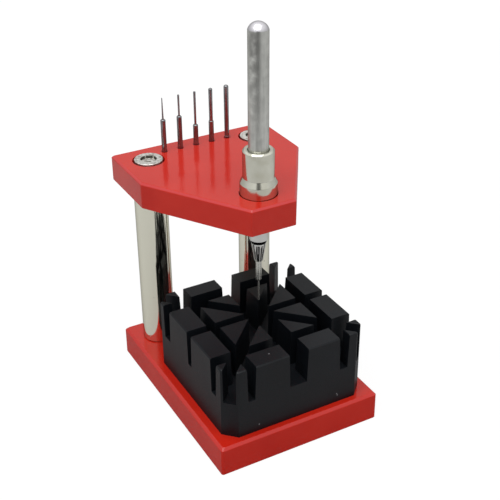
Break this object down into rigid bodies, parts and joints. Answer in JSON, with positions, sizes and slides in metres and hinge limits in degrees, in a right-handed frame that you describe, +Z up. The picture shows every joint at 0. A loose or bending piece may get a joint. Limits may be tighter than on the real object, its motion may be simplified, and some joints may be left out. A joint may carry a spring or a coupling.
{
  "type": "watch link remover",
  "caption": "Bench press that pushes pins out of watch bracelets: a plunger with a thin punch slides in a head plate on columns, over a slotted holder block.",
  "frame": {"origin": "centre of the base plate's underside, which is the face that the tool stands on", "axes": "+Z up along the columns and the plunger, -Y towards the user, where the nose of the head plate and the holder block are, +Y towards the columns, +X to the user's right"},
  "size_m": [0.0708, 0.0936, 0.1622],
  "materials": {
    "red_coat": "smooth gloss powder coat",
    "column_chrome": "polished chrome",
    "screw_steel": "bright zinc plated",
    "bush_nickel": "turned, satin nickel",
    "ring_rubber": "matt",
    "rod_steel": "ground, satin",
    "chuck_steel": "polished nickel",
    "punch_steel": "ground, bright",
    "spare_steel": "ground, bright",
    "black_nylon": "moulded, fine matt grain"
  },
  "bodies": {
    "frame": {"base_plate": "red_coat", "column_left": "column_chrome", "column_right": "column_chrome", "base_screws": "screw_steel", "head_plate": "red_coat", "head_screws": "screw_steel", "guide_bush": "bush_nickel", "friction_ring": "ring_rubber"},
    "plunger": {"plunger_rod": "rod_steel", "collet": "chuck_steel", "chuck_punch": "punch_steel"},
    "sleeve": {"chuck_sleeve": "chuck_steel"},
    "block": {"holder_block": "black_nylon"},
    "spare_1": {"spare_punch_1": "spare_steel"},
    "spare_2": {"spare_punch_2": "spare_steel"},
    "spare_3": {"spare_punch_3": "spare_steel"},
    "spare_4": {"spare_punch_4": "spare_steel"},
    "spare_5": {"spare_punch_5": "spare_steel"}
  },
  "joints": [
    {"name": "plunger_slide", "type": "slide", "parent": "frame", "child": "plunger", "axis": [0, 0, 1], "range_m": [-0.0201, 0.02]},
    {"name": "sleeve_turn", "type": "hinge", "parent": "plunger", "child": "sleeve", "pos_m": [0, -0.0123, 0.0808], "axis": [0, 0, 1], "range_deg": [0, 360]},
    {"name": "block_slide", "type": "slide", "parent": "frame", "child": "block", "axis": [0, 1, 0], "range_m": [-0.003, 0.0082]},
    {"name": "spare_lift_1", "type": "slide", "parent": "frame", "child": "spare_1", "axis": [0, 0, 1], "range_m": [0, 0.012]},
    {"name": "spare_lift_2", "type": "slide", "parent": "frame", "child": "spare_2", "axis": [0, 0, 1], "range_m": [0, 0.012]},
    {"name": "spare_lift_3", "type": "slide", "parent": "frame", "child": "spare_3", "axis": [0, 0, 1], "range_m": [0, 0.012]},
    {"name": "spare_lift_4", "type": "slide", "parent": "frame", "child": "spare_4", "axis": [0, 0, 1], "range_m": [0, 0.012]},
    {"name": "spare_lift_5", "type": "slide", "parent": "frame", "child": "spare_5", "axis": [0, 0, 1], "range_m": [0, 0.012]}
  ]
}
